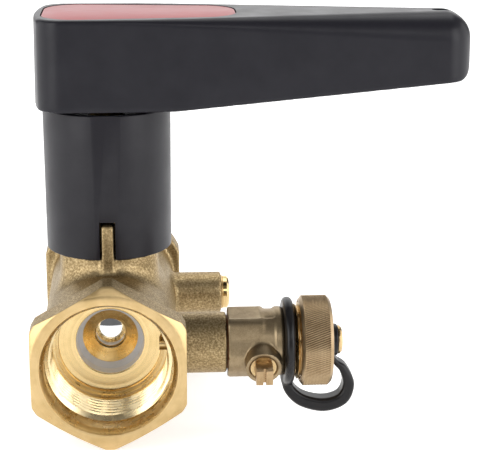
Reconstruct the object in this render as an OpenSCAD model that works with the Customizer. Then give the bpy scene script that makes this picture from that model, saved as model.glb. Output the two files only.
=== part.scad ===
// Lever ball valve with an extended neck, a drain cock and a plugged test port.
// The pipe runs along +Y. The origin is on its axis, at the plane where the inlet thread
// begins. The stem stands along +Z, and the lever and both side ports point along +X.
// The valve and its drain cock are shut.

/* [Body] */
// Length between the inlet face and the outlet face
body_length = 104; // [102:1:108]
// Width across the flats of the hexagon ends
hex_flats = 51; // [50:0.5:52]
// Length of each hexagon end
hex_length = 11; // [10:0.5:12]
// Radius of the cast barrel between the hexagons
barrel_r = 23.2; // [23:0.1:24]
// Major radius of the pipe thread in both ends
pipe_thread_r = 20.955; // [20.8:0.005:21]

/* [Neck and sleeve] */
// Outer radius of the plastic neck sleeve at its foot
sleeve_r = 21.8; // [21.5:0.1:22]
// Height of the sleeve's foot above the pipe axis
sleeve_foot_z = 28.3; // [28:0.1:29]
// Height of the sleeve's top above the pipe axis
sleeve_top_z = 78.2; // [77.5:0.1:78.4]

/* [Lever] */
// Distance from the stem axis to the tip of the lever
lever_reach = 124.5; // [110:0.5:140]
// Height of the lever's flat top above the pipe axis
lever_top_z = 110; // [109.5:0.1:112]
// Width of the lever over the stem
lever_hub_width = 45; // [44:0.5:48]
// Width of the lever near its tip
lever_tip_width = 25; // [22:0.5:30]

/* [Main ball] */
// Radius of the main ball
ball_r = 16.2; // [15.8:0.1:16.2]
// Radius of the waterway through the main ball
ball_bore_r = 8; // [6:0.1:8.4]
// Radius of the nozzle's throat, just ahead of the main ball
throat_r = 5.5; // [4.5:0.1:6]

/* [Side ports] */
// Distance of each port axis from the nearer end face
port_from_face = 25.2; // [24.8:0.1:25.5]
// Distance from the pipe axis to the end of the drain boss
drain_boss_end = 39.7; // [39.4:0.1:40]
// Distance from the pipe axis to the end of the test boss
test_boss_end = 40.6; // [40.2:0.1:41]
// Tilt of the drain cock's stem below the horizontal
drain_stem_tilt = 15; // [0:1:30]

/* [Cap and strap] */
// Outer radius of the drain cap
cap_r = 15.5; // [15.4:0.1:17]
// Width of the rubber strap along the pipe
strap_width = 7; // [4:0.5:8]

/* [Hidden] */
$fn = 96;
run = 0.05;

// Stations along the pipe, measured inward from each end face
mouth_r = 22.66;
recess_r = 21.3;
recess_y = 2.5;
thread_start_y = 9;
thread_end_y = 24;
relief_r = 18.6;
step_r = 17.7;
step_y = 26;
floor_y = 28;
seat_opening_r = 11.7;
seat_back_y = 29.5;
seat_outer_r = 15.5;
seat_bore_r = 9.9;
seat_lip_r = 11.65;
nozzle_y = 33.4;
nozzle_r = 10.2;
nozzle_mouth_r = 9.5;
nozzle_cone = 2.5;
cavity_r = 19.6;
cavity_front_y = 33;
retainer_depth = 36;

// Planes across the pipe, in the part's own frame
inlet_y = -thread_start_y;
outlet_y = inlet_y + body_length;
mid_y = inlet_y + body_length / 2;
drain_y = inlet_y + port_from_face;
test_y = outlet_y - port_from_face;

// Heights on the stem
shoulder_r = 8.5;
shoulder_z = 19.7;
washer_z = 22.2;
washer_top_z = 23.2;
stem_r = 6;
neck_front_r = 20.6;
neck_half_width = 17;
upper_neck_r = 14;
upper_neck_z = 41;
packing_z = 33.5;
gland_z = 36.5;
gland_r = 8.6;
square_z = 78.6;
stem_top_z = 96;
stem_square = 8.4;
o_ring_z = [26.6, 30.6];

// Sleeve
sleeve_wall = 2.6;
sleeve_web_z = 71.6;
sleeve_web_top_z = 74.8;
sleeve_flat = 9.2;
rib_width = 4;
slot_width = 5.4;
slot_top_z = 41.6;

// Lever
lever_foot_z = 79;
lever_back = 24.6;
lever_wall = 2.6;
lever_roof_z = lever_top_z - 8.5;
plate_depth = 1.4;
insert_r = 11;
insert_top_z = 100;
stop_inner_r = 9.6;
stop_outer_r = 14.6;
lug_half_angle = 12;
post_half_angle = 8;

// Drain cock, measured along its own axis from the pipe axis
drain_tail_start = 29.8;
drain_flange_start = 40.2;
drain_hex_end = 52.1;
drain_hex_flats = 21.5;
drain_hex_r = 12;
drain_hex_turn = 9.2;
drain_waist_r = 11.2;
drain_collar_start = 55.9;
drain_collar_end = 58.7;
drain_neck_end = 62.6;
drain_thread_end = 72.6;
drain_thread_r = 13.2;
drain_ball_x = 51.5;
drain_ball_r = 6.2;
drain_way_r = 3.4;
drain_boss_r = 6;
drain_boss_reach = 16;
drain_stem_r = 3;
drain_square = 5.6;
drain_square_end = 21.4;

// Cap
cap_start = 64.7;
cap_end = 75.4;
cap_floor = 73.6;

// Middle line of the rubber strap in the plane of the drain, and its thickness along the way
strap_points = [[60.6, -9], [60.6, -12.6], [61.6, -17.2], [66, -21.4], [73.6, -23.3], [80, -21.2],
    [82.2, -15.8], [80.4, -10.4], [77.9, -7.9], [76.8, -6.5], [76.8, -3.5]];
strap_thick = [3.6, 3.6, 3.8, 4.4, 4.8, 4.6, 4, 3, 2, 1.4, 1.4];
strap_steps = 4;

// Turned shapes: local +Z becomes the pipe axis
module along_pipe() rotate([-90, 0, 0]) children();

module pipe_ring(r_out, r_in, y0, y1) {
    translate([0, y0, 0]) along_pipe() difference() {
        cylinder(r = r_out, h = y1 - y0);
        translate([0, 0, -1]) cylinder(r = r_in, h = y1 - y0 + 2);
    }
}

module port_rod(y, r, x0, x1) {
    translate([x0, y, 0]) rotate([0, 90, 0]) cylinder(r = r, h = x1 - x0);
}

// Local +Z is the stem axis of the drain cock, starting at the middle of its ball
module on_drain_stem() {
    translate([drain_ball_x, drain_y, 0]) rotate([90 + drain_stem_tilt, 0, 0]) children();
}

// Sector of a ring about the stem, between two radii, two heights and two angles
module ring_sector(r_in, r_out, z0, z1, a0, a1) {
    translate([0, mid_y, z0]) rotate([0, 0, a0]) rotate_extrude(angle = a1 - a0)
        translate([r_in, 0]) square([r_out - r_in, z1 - z0]);
}

// One hexagon end with its turned corners, standing on its face and pointing inward
module hex_end() {
    intersection() {
        rotate([0, 0, 30]) cylinder(d = hex_flats / cos(30), h = hex_length, $fn = 6);
        rotate_extrude() polygon([[0, 0], [hex_flats / 2 + 0.2, 0], [hex_flats / 2 + 3.2, 1.9],
            [hex_flats / 2 + 3.2, hex_length - 2.6], [hex_flats / 2 + 0.8, hex_length], [0, hex_length]]);
    }
}

// Everything that is bored, turned or tapped along the pipe
module pipe_bore() {
    translate([0, inlet_y, 0]) along_pipe() rotate_extrude() polygon([
        [0, -1], [mouth_r + 0.6, -1], [mouth_r, 0], [recess_r, recess_y],
        [recess_r, thread_start_y], [pipe_thread_r, thread_start_y],
        [pipe_thread_r, thread_end_y], [relief_r, thread_end_y], [relief_r, step_y],
        [step_r, step_y], [step_r, floor_y - 0.6], [seat_opening_r, floor_y],
        [seat_opening_r, seat_back_y], [seat_outer_r, seat_back_y],
        [seat_outer_r, cavity_front_y], [cavity_r, cavity_front_y],
        [cavity_r, body_length - thread_end_y], [pipe_thread_r, body_length - thread_end_y],
        [pipe_thread_r, body_length - thread_start_y], [recess_r, body_length - thread_start_y],
        [recess_r, body_length - recess_y], [mouth_r, body_length],
        [mouth_r + 0.6, body_length + 1], [0, body_length + 1]]);
}

// Stepped hole through the neck for the stem, its washer, its packing and its gland nut
module stem_bore() {
    translate([0, mid_y, 0]) {
        translate([0, 0, 10]) cylinder(r = shoulder_r + 0.1, h = washer_top_z - 10);
        cylinder(r = stem_r + run, h = upper_neck_z + 1);
        translate([0, 0, packing_z]) cylinder(r = gland_r, h = upper_neck_z - packing_z + 1);
    }
}

module valve_body() {
    color("darkkhaki") difference() {
        union() {
            translate([0, inlet_y, 0]) along_pipe() hex_end();
            translate([0, outlet_y, 0]) rotate([90, 0, 0]) hex_end();
            translate([0, inlet_y + hex_length - 1, 0]) along_pipe()
                cylinder(r = barrel_r, h = body_length - 2 * hex_length + 2);
            translate([0, mid_y, 0]) intersection() {
                cylinder(r = neck_front_r, h = sleeve_foot_z);
                translate([-neck_half_width, -30, 0]) cube([2 * neck_half_width, 60, sleeve_foot_z]);
            }
            translate([0, mid_y, 0]) cylinder(r = upper_neck_r, h = upper_neck_z);
            // Rib on the front of the neck, which keys the sleeve
            translate([-rib_width / 2, mid_y - sleeve_r - 0.4, 10])
                cube([rib_width, sleeve_r - 8, upper_neck_z - 10.6]);
            port_rod(drain_y, 10.2, 10, drain_boss_end);
            port_rod(test_y, 7.5, 10, test_boss_end);
        }
        pipe_bore();
        stem_bore();
        port_rod(drain_y, 6.58, 28.5, drain_boss_end + 1);
        port_rod(drain_y, 2.3, 10, 30);
        port_rod(test_y, 4.87, 30, test_boss_end + 1);
        port_rod(test_y, 2, 10, 31);
    }
}

// Threaded ring that shuts the seats against the ball from the outlet side
module seat_retainer() {
    color("goldenrod") difference() {
        pipe_ring(cavity_r - run, seat_opening_r, outlet_y - retainer_depth, outlet_y - floor_y);
        translate([0, outlet_y - retainer_depth - 1, 0]) along_pipe()
            cylinder(r = seat_outer_r, h = retainer_depth - seat_back_y + 1);
        for (side = [-1, 1]) translate([side * 15.5, outlet_y - floor_y, 0])
            cube([4, 3, 3.4], center = true);
    }
}

// Ring with a flared lip, which carries the nozzle and bears on the ball behind it
module inlet_seat_ring() {
    color("white") difference() {
        translate([0, inlet_y, 0]) along_pipe() rotate_extrude() polygon([
            [seat_lip_r, seat_back_y], [seat_outer_r - run, seat_back_y],
            [seat_outer_r - run, mid_y - inlet_y - 10], [nozzle_r, mid_y - inlet_y - 10],
            [nozzle_r, nozzle_y], [nozzle_mouth_r, nozzle_y], [nozzle_mouth_r, nozzle_y - 0.3],
            [seat_lip_r - 0.35, seat_back_y + 2]]);
        translate([0, mid_y, 0]) sphere(r = ball_r + run);
        pipe_ring(cavity_r + 1, 12.6, mid_y - 13, mid_y);
    }
}

// Turned nozzle that narrows the water stream to its throat ahead of the ball
module inlet_nozzle() {
    color("goldenrod") difference() {
        translate([0, inlet_y, 0]) along_pipe() rotate_extrude() polygon([
            [nozzle_mouth_r, nozzle_y], [nozzle_r - 0.04, nozzle_y], [nozzle_r - 0.04, nozzle_y + 6.4],
            [throat_r, nozzle_y + 6.4], [throat_r, nozzle_y + nozzle_cone]]);
        translate([0, mid_y, 0]) sphere(r = ball_r + 0.3);
    }
}

module outlet_seat_ring() {
    color("white") difference() {
        pipe_ring(seat_outer_r - run, seat_bore_r, mid_y + 10, outlet_y - seat_back_y);
        translate([0, mid_y, 0]) sphere(r = ball_r + run);
        pipe_ring(cavity_r + 1, 12.6, mid_y, mid_y + 13);
    }
}

// Ball shut across the pipe: its waterway points at the side walls
module main_ball() {
    color("silver") difference() {
        translate([0, mid_y, 0]) sphere(r = ball_r);
        translate([-ball_r - 1, mid_y, 0]) rotate([0, 90, 0]) cylinder(r = ball_bore_r, h = 2 * ball_r + 2);
        translate([-2.6, mid_y - ball_r, ball_r - 3.8]) cube([5.2, 2 * ball_r, 6]);
    }
}

module main_stem() {
    color("goldenrod") difference() {
        union() {
            translate([-2.5, mid_y - 6, ball_r - 3.5]) cube([5, 12, shoulder_z - ball_r + 3.6]);
            translate([0, mid_y, shoulder_z]) cylinder(r = shoulder_r, h = washer_z - shoulder_z);
            translate([0, mid_y, washer_z - 0.5]) cylinder(r = stem_r, h = square_z - washer_z + 0.5);
            translate([-stem_square / 2, mid_y - stem_square / 2, square_z - 0.5])
                cube([stem_square, stem_square, stem_top_z - square_z + 0.5]);
        }
        for (z = o_ring_z) translate([0, mid_y, z]) difference() {
            cylinder(r = stem_r + 1, h = 2);
            cylinder(r = 4.6, h = 2);
        }
        translate([0, mid_y, 84]) cylinder(r = 2.5, h = 20);
    }
}

module stem_thrust_washer() {
    color("white") translate([0, mid_y, washer_z]) difference() {
        cylinder(r = shoulder_r, h = washer_top_z - washer_z);
        translate([0, 0, -1]) cylinder(r = stem_r + 0.02, h = 4);
    }
}

module stem_o_rings() {
    color("black") for (z = o_ring_z) translate([0, mid_y, z + 1])
        rotate_extrude() translate([5.33, 0]) circle(r = 0.7, $fn = 32);
}

module gland_packing() {
    color("white") translate([0, mid_y, packing_z]) difference() {
        cylinder(r = gland_r - 0.04, h = gland_z - packing_z);
        translate([0, 0, -1]) cylinder(r = stem_r + run, h = 6);
    }
}

module gland_nut() {
    color("goldenrod") translate([0, mid_y, 0]) difference() {
        union() {
            translate([0, 0, gland_z]) cylinder(r = gland_r - 0.04, h = 6);
            translate([0, 0, upper_neck_z + 0.2]) intersection() {
                cylinder(d = 20 / cos(30), h = 6, $fn = 6);
                cylinder(r1 = 12.4, r2 = 10.6, h = 6);
            }
        }
        translate([0, 0, gland_z - 1]) cylinder(r = stem_r + 0.1, h = 20);
    }
}

// Neck sleeve with its slot over the rib, its front flat and the two stops of the lever
module neck_sleeve() {
    color("dimgray") union() {
        difference() {
            translate([0, mid_y, 0]) rotate_extrude() polygon([
                [sleeve_r - sleeve_wall, sleeve_foot_z], [sleeve_r, sleeve_foot_z],
                [sleeve_r + 0.2, sleeve_top_z], [sleeve_r - sleeve_wall + 0.4, sleeve_top_z],
                [sleeve_r - sleeve_wall + 0.4, sleeve_web_top_z], [stem_r + 0.2, sleeve_web_top_z],
                [stem_r + 0.2, sleeve_web_z], [sleeve_r - sleeve_wall, sleeve_web_z]]);
            translate([-slot_width / 2, mid_y - sleeve_r - 2, sleeve_foot_z - 1])
                cube([slot_width, sleeve_wall + 3, slot_top_z - sleeve_foot_z + 1]);
            translate([-20, mid_y - sleeve_r - 8.5, sleeve_foot_z - 1]) cube([40, 9, 60]);
        }
        // Four inner ribs that centre the sleeve on the upper neck
        for (a = [45:90:315]) translate([0, mid_y, sleeve_foot_z]) rotate([0, 0, a])
            translate([upper_neck_r + 0.1, -1, 0]) cube([sleeve_r - upper_neck_r - 1.6, 2, 10]);
        ring_sector(stop_inner_r, stop_outer_r, sleeve_web_top_z - 0.2, sleeve_top_z - 0.6,
            -lug_half_angle - 1 - 2 * post_half_angle, -lug_half_angle - 1);
        ring_sector(stop_inner_r, stop_outer_r, sleeve_web_top_z - 0.2, sleeve_top_z - 0.6,
            91 + lug_half_angle, 91 + lug_half_angle + 2 * post_half_angle);
    }
}

// Corner posts of the lever's plan: hub end and tip end, inset by the wall
module lever_posts(inset, z, h, drop, tip_r) {
    hub_r = 7;
    for (side = [-1, 1]) {
        translate([-lever_back + drop + hub_r, side * (lever_hub_width / 2 - drop - hub_r), z])
            cylinder(r = hub_r - inset, h = h, $fn = 32);
        translate([16, side * (lever_hub_width / 2 - drop - hub_r), z])
            cylinder(r = hub_r - inset, h = h, $fn = 32);
        translate([lever_reach - drop - tip_r, side * (lever_tip_width / 2 - drop - tip_r), z])
            cylinder(r = tip_r - inset, h = h, $fn = 32);
    }
}

// Outer form of the lever: drawn sides, a small edge round over the hub and a big one at the tip
module lever_form(inset) {
    hull() {
        lever_posts(inset, lever_foot_z - 1, 1, 0, 9);
        lever_posts(inset + 0.6, lever_top_z - inset - 9, 1, 0.6, 9);
        for (side = [-1, 1]) {
            translate([-lever_back + 9, side * (lever_hub_width / 2 - 9), lever_top_z - inset - 1])
                cylinder(r = 6.8 - inset, h = 1, $fn = 32);
            translate([16, side * (lever_hub_width / 2 - 9), lever_top_z - inset - 1])
                cylinder(r = 6.8 - inset, h = 1, $fn = 32);
            translate([lever_reach - 13, side * 3, lever_top_z - inset - 1])
                cylinder(r = 4.5 - inset / 2, h = 1, $fn = 32);
        }
    }
}

// Outline of the name plate: a long rounded shape that narrows toward the tip
module plate_outline(inset) {
    hull() {
        translate([-21.2 + 12, 0]) for (side = [-1, 1]) translate([0, side * 7.2])
            circle(r = 12 - inset, $fn = 64);
        translate([44.6 - 12, 0]) for (side = [-1, 1]) translate([0, side * 3])
            circle(r = 12 - inset, $fn = 64);
    }
}

module lever_handle() {
    color("darkslategray") translate([0, mid_y, 0]) difference() {
        union() {
            difference() {
                lever_form(0);
                intersection() {
                    lever_form(lever_wall);
                    translate([-60, -60, 0]) cube([240, 120, lever_roof_z + 5.2]);
                }
            }
            translate([0, 0, lever_foot_z + 0.6])
                cylinder(r = 14.4, h = lever_roof_z - lever_foot_z + 6);
        }
        // The underside rises toward the tip
        rotate([90, 0, 0]) linear_extrude(height = 80, center = true) polygon([
            [-60, lever_foot_z - 4], [-60, lever_foot_z], [23, lever_foot_z],
            [lever_reach + 10, lever_foot_z + 10.6], [lever_reach + 10, lever_foot_z - 4]]);
        translate([0, 0, lever_foot_z - 4]) cylinder(r = insert_r, h = insert_top_z - lever_foot_z + 4.4);
        translate([0, 0, lever_roof_z - 4]) cylinder(r = 2.8, h = 20);
        translate([0, 0, lever_roof_z + 1.5]) cylinder(r = 5.2, h = 20);
        translate([0, 0, lever_top_z - plate_depth]) linear_extrude(height = 4) plate_outline(0);
        // Lanyard slot at the tip
        translate([lever_reach - 12.5, -2, lever_top_z - 14]) cube([7, 4, 20]);
    }
}

// Metal insert with the square that drives the stem, and the lug that meets the stops
module lever_insert() {
    color("silver") difference() {
        union() {
            translate([0, mid_y, lever_foot_z]) cylinder(r = insert_r - 0.02, h = insert_top_z - lever_foot_z);
            ring_sector(4, stop_outer_r, sleeve_web_top_z + 0.6, lever_foot_z + 0.3,
                -lug_half_angle, lug_half_angle);
        }
        translate([-stem_square / 2 - 0.04, mid_y - stem_square / 2 - 0.04, square_z])
            cube([stem_square + 0.08, stem_square + 0.08, 30]);
        translate([0, mid_y, sleeve_web_z]) cylinder(r = stem_r + 0.1, h = square_z - sleeve_web_z);
    }
}

module lever_screw() {
    color("silver") translate([0, mid_y, 0]) difference() {
        union() {
            translate([0, 0, 86]) cylinder(r = 2.46, h = lever_roof_z + 2 - 86);
            translate([0, 0, lever_roof_z + 1.5]) cylinder(r = 4.8, h = 3.4);
        }
        translate([0, 0, lever_roof_z + 2.9]) cylinder(d = 4.6, h = 5, $fn = 6);
    }
}

module lever_plate() {
    color("firebrick") translate([0, mid_y, lever_top_z - plate_depth])
        linear_extrude(height = plate_depth - 0.1) plate_outline(0.4);
}

module test_port_plug() {
    color("gold") difference() {
        union() {
            port_rod(test_y, 4.83, 31, test_boss_end + 1);
            port_rod(test_y, 6.1, test_boss_end + 0.6, test_boss_end + 3.1);
        }
        translate([test_boss_end - 2, test_y, 0]) rotate([0, 90, 0])
            cylinder(d = 5.8, h = 8, $fn = 6);
    }
}

module test_port_washer() {
    color("goldenrod") difference() {
        port_rod(test_y, 6.3, test_boss_end, test_boss_end + 0.6);
        port_rod(test_y, 4.87, test_boss_end - 2, test_boss_end + 2);
    }
}

module drain_body() {
    color("tan") difference() {
        union() {
            port_rod(drain_y, 6.54, drain_tail_start, drain_flange_start + 1);
            translate([drain_flange_start, drain_y, 0]) rotate([0, 90, 0]) intersection() {
                rotate([0, 0, drain_hex_turn - 90]) cylinder(d = drain_hex_flats / cos(30),
                    h = drain_hex_end - drain_flange_start, $fn = 6);
                cylinder(r = drain_hex_r, h = drain_hex_end - drain_flange_start);
            }
            port_rod(drain_y, drain_waist_r, drain_hex_end - 1, drain_collar_start + 1);
            port_rod(drain_y, 11.9, drain_collar_start, drain_collar_end);
            port_rod(drain_y, 11, drain_collar_end - 1, drain_neck_end + 1);
            port_rod(drain_y, drain_thread_r, drain_neck_end, drain_thread_end);
            on_drain_stem() cylinder(r = drain_boss_r, h = drain_boss_reach);
        }
        port_rod(drain_y, drain_way_r, drain_tail_start - 1, drain_ball_x);
        port_rod(drain_y, 6.6, drain_ball_x - 6.4, drain_neck_end);
        port_rod(drain_y, 8.6, drain_neck_end, drain_thread_end + 1);
        on_drain_stem() {
            cylinder(r = 4.1, h = 8.4);
            cylinder(r = drain_stem_r + run, h = drain_boss_reach + 1);
            translate([0, 0, 12.4]) cylinder(r = 4.4, h = 6);
        }
    }
}

module drain_seal() {
    color("chocolate") difference() {
        port_rod(drain_y, 9.2, drain_boss_end, drain_flange_start);
        port_rod(drain_y, 6.58, drain_boss_end - 1, drain_flange_start + 1);
    }
}

// Small ball of the drain cock, shut: its waterway stands across the outlet
module drain_ball() {
    color("silver") difference() {
        on_drain_stem() sphere(r = drain_ball_r);
        on_drain_stem() rotate([90, 0, 0]) cylinder(r = drain_way_r - 0.4, h = 20, center = true);
        on_drain_stem() translate([-8, -1.1, 4.6]) cube([16, 2.2, 4]);
    }
}

module drain_ball_seats() {
    color("white") difference() {
        union() {
            port_rod(drain_y, 6.56, drain_ball_x - 6.4, drain_ball_x - 3);
            port_rod(drain_y, 6.56, drain_ball_x + 3, drain_ball_x + 6.4);
        }
        port_rod(drain_y, drain_way_r, drain_ball_x - 10, drain_ball_x + 10);
        translate([drain_ball_x, drain_y, 0]) sphere(r = drain_ball_r + run);
        on_drain_stem() cylinder(r = 4.6, h = 9);
    }
}

module drain_seat_nut() {
    color("goldenrod") difference() {
        port_rod(drain_y, 6.56, drain_ball_x + 6.4, drain_neck_end);
        port_rod(drain_y, drain_way_r, drain_ball_x, drain_neck_end + 2);
    }
}

module drain_stem() {
    color("goldenrod") on_drain_stem() difference() {
        union() {
            translate([-2.6, -1, 4.8]) cube([5.2, 2, 2.2]);
            translate([0, 0, 6.5]) cylinder(r = 4, h = 1.8);
            translate([0, 0, 7]) cylinder(r = drain_stem_r, h = 9.4);
            translate([-drain_square / 2, -drain_square / 2, 16.3])
                cube([drain_square, drain_square, drain_square_end - 16.3]);
        }
        translate([0, 0, 9.4]) difference() {
            cylinder(r = 4, h = 1.6);
            cylinder(r = 2.1, h = 1.6);
        }
        translate([-0.45, -4, drain_square_end - 1.5]) cube([0.9, 8, 3]);
    }
}

module drain_stem_o_ring() {
    color("black") on_drain_stem() translate([0, 0, 10.2])
        rotate_extrude() translate([2.58, 0]) circle(r = 0.45, $fn = 32);
}

module drain_gland() {
    color("goldenrod") on_drain_stem() translate([0, 0, 12.4]) difference() {
        cylinder(r = 4.36, h = 3.2);
        translate([0, 0, -1]) cylinder(r = drain_stem_r + run, h = 8);
    }
}

module drain_cap() {
    color("tan") difference() {
        translate([cap_start, drain_y, 0]) rotate([0, 90, 0]) rotate_extrude() polygon([
            [0, 0], [cap_r - 1.5, 0], [cap_r, 1.1], [cap_r, cap_end - cap_start - 1.2],
            [cap_r - 1.2, cap_end - cap_start], [0, cap_end - cap_start]]);
        port_rod(drain_y, drain_thread_r + 0.07, cap_start - 1, cap_floor);
        port_rod(drain_y, 2.05, cap_floor - 1, cap_end + 1);
    }
}

module cap_gasket() {
    color("black") difference() {
        port_rod(drain_y, 13, drain_thread_end + 0.1, cap_floor);
        port_rod(drain_y, 4.4, drain_thread_end - 1, cap_floor + 1);
    }
}

module cap_rivet() {
    color("goldenrod") union() {
        port_rod(drain_y, 3.4, drain_thread_end + 0.2, cap_floor);
        port_rod(drain_y, 2, drain_thread_end + 0.4, 79);
        port_rod(drain_y, 4.9, 78.1, 79.7);
    }
}

module strap_eyelet() {
    color("black") difference() {
        port_rod(drain_y, 6, 75.5, 78);
        port_rod(drain_y, 2.1, 75, 79);
    }
}

// Points of a smooth line through the strap's own points, with the thickness beside each
function blend_at(a, b, c, d, t) = 0.5 * (2 * b + (c - a) * t + (2 * a - 5 * b + 4 * c - d) * t * t
    + (3 * b - a - 3 * c + d) * t * t * t);
function strap_at(list) = [for (i = [1 : len(list) - 3], s = [0 : strap_steps - 1])
    blend_at(list[i - 1], list[i], list[i + 1], list[i + 2], s / strap_steps)];
function side_of(line, thick, sign) = [for (i = [0 : len(line) - 1])
    let (a = line[max(i - 1, 0)], b = line[min(i + 1, len(line) - 1)], n = norm(b - a))
    line[i] + sign * thick[i] / 2 * [-(b - a)[1], (b - a)[0]] / n];

// Rubber retainer: a ring round the drain neck and a loop that carries the eyelet
module cap_strap() {
    line = strap_at(strap_points);
    thick = strap_at(strap_thick);
    near = side_of(line, thick, 1);
    far = side_of(line, thick, -1);
    color("black") union() {
        difference() {
            port_rod(drain_y, 15.1, drain_collar_end + 0.1, drain_neck_end - 0.1);
            port_rod(drain_y, 11.1, drain_collar_end - 1, drain_neck_end + 1);
        }
        translate([0, drain_y + strap_width / 2, 0]) rotate([90, 0, 0])
            linear_extrude(height = strap_width)
                polygon(concat(near, [for (i = [len(far) - 1 : -1 : 0]) far[i]]));
    }
}

valve_body();
seat_retainer();
inlet_seat_ring();
inlet_nozzle();
outlet_seat_ring();
main_ball();
main_stem();
stem_thrust_washer();
stem_o_rings();
gland_packing();
gland_nut();
neck_sleeve();
lever_handle();
lever_insert();
lever_screw();
lever_plate();
test_port_plug();
test_port_washer();
drain_body();
drain_seal();
drain_ball();
drain_ball_seats();
drain_seat_nut();
drain_stem();
drain_stem_o_ring();
drain_gland();
drain_cap();
cap_gasket();
cap_rivet();
strap_eyelet();
cap_strap();
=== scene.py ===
import math
import bpy
import bmesh
import numpy as np
from mathutils import Matrix, Vector


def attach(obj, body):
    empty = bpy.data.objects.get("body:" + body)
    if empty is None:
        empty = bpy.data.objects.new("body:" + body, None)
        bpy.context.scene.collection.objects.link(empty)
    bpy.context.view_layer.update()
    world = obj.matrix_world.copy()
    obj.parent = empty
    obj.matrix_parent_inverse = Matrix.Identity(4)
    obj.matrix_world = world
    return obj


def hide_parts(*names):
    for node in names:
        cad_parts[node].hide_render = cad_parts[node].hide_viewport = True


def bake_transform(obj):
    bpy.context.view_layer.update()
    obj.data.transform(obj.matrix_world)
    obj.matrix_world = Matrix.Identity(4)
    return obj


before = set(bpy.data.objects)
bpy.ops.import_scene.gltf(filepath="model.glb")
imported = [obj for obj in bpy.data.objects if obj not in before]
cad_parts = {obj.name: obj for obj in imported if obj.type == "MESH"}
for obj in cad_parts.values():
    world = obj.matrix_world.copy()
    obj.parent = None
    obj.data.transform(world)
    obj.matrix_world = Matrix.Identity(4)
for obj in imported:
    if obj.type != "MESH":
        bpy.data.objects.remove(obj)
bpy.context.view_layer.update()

MM = 0.001

# ---------------------------------------------------------------- sizes in mm
# Most are the CAD's. The hexagons' corners, and the lever's foot, wall, insert, back and tip, differ from it
# by up to 1 mm.
INLET, OUTLET, STEM = -9.0, 95.0, 43.0
DRAIN, TEST = 16.2, 69.8
HEX = 25.5
CORNER, REAR_CORNER = 28.6, 28.0
FACE_EDGE, FACE_SLOPE = 25.6, 1.88
BARREL, CAVITY = 23.2, 19.6
RECESS, ROOT, THREAD_DEPTH, PIPE_PITCH = 21.3, 20.955, 1.479, 2.309
GLAND = 8.6
TOP, FOOT, ROOF = 110.0, 79.4, 100.4
LEVER_BACK, LEVER_TIP, LEVER_HALF, WALL = -24.2, 125.5, 22.5, 2.7
INSERT = 11.02
PLATE_HUB, PLATE_TIP, PLATE_ROUND = (-9.2, 7.2), (32.6, 3.0), 12.0
SLEEVE_FOOT, SLEEVE_TOP, SLEEVE = 28.3, 78.2, 21.8
NECK_END, COCK_END, COCK_THREAD, COCK_PITCH = 62.6, 72.6, 13.2, 1.814
COCK_MOUTH, WATER_WAY = 8.6, 3.4
CAP, CAP_START, CAP_END, CAP_INSIDE = 15.5, 64.7, 75.4, 13.27
HALF_ROOT_3 = 0.8660254


# ---------------------------------------------------------------- materials
def tree_of(name, rough, metal, colour=(0.5, 0.5, 0.5)):
    mat = bpy.data.materials.new(name)
    mat.use_nodes = True
    shader = mat.node_tree.nodes["Principled BSDF"]
    shader.inputs["Roughness"].default_value = rough
    shader.inputs["Metallic"].default_value = metal
    shader.inputs["Base Color"].default_value = (*colour, 1)
    return mat, mat.node_tree, shader


def add(tree, kind, **values):
    made = tree.nodes.new("ShaderNode" + kind)
    for key, value in values.items():
        if key in made.inputs:
            made.inputs[key].default_value = value
        else:
            setattr(made, key, value)
    return made


def join(tree, start, end):
    tree.links.new(start, end)


def place(tree, stretch=(1, 1, 1)):
    """Coordinates of the piece itself in metres, stretched."""
    coords = add(tree, "TexCoord")
    scaled = add(tree, "Mapping")
    scaled.inputs["Scale"].default_value = stretch
    join(tree, coords.outputs["Object"], scaled.inputs["Vector"])
    return scaled.outputs[0]


def noise(tree, where, scale, detail=3.0, rough=0.55, distortion=0.0):
    made = add(tree, "TexNoise", Scale=scale, Detail=detail, Roughness=rough, Distortion=distortion)
    join(tree, where, made.inputs["Vector"])
    return made.outputs["Fac"]


def ramp(tree, value, stops):
    made = add(tree, "ValToRGB")
    elements = made.color_ramp.elements
    elements[0].position, elements[0].color = stops[0][0], (*stops[0][1], 1)
    elements[1].position, elements[1].color = stops[-1][0], (*stops[-1][1], 1)
    for at, colour in stops[1:-1]:
        elements.new(at).color = (*colour, 1)
    join(tree, value, made.inputs["Fac"])
    return made.outputs["Color"]


def spread(tree, value, low, high, low_in=0.3, high_in=0.7):
    made = add(tree, "MapRange")
    for key, number in (("From Min", low_in), ("From Max", high_in), ("To Min", low), ("To Max", high)):
        made.inputs[key].default_value = number
    join(tree, value, made.inputs["Value"])
    return made.outputs["Result"]


def maths(tree, operation, a, b=None):
    made = add(tree, "Math", operation=operation)
    for socket, value in zip(made.inputs, (a, b)):
        if value is None:
            continue
        if isinstance(value, (int, float)):
            socket.default_value = value
        else:
            join(tree, value, socket)
    return made.outputs[0]


def bump(tree, shader, height, strength, distance, under=None):
    made = add(tree, "Bump", Strength=strength, Distance=distance)
    join(tree, height, made.inputs["Height"])
    if under is not None:
        join(tree, under, made.inputs["Normal"])
    join(tree, made.outputs["Normal"], shader.inputs["Normal"])
    return made.outputs["Normal"]


def mix(tree, share, a, b):
    made = add(tree, "Mix", data_type="RGBA")
    for key, value in ((0, share), (6, a), (7, b)):
        if isinstance(value, (int, float)):
            made.inputs[key].default_value = value
        elif isinstance(value, tuple):
            made.inputs[key].default_value = (*value, 1)
        else:
            join(tree, value, made.inputs[key])
    return made.outputs[2]


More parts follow.
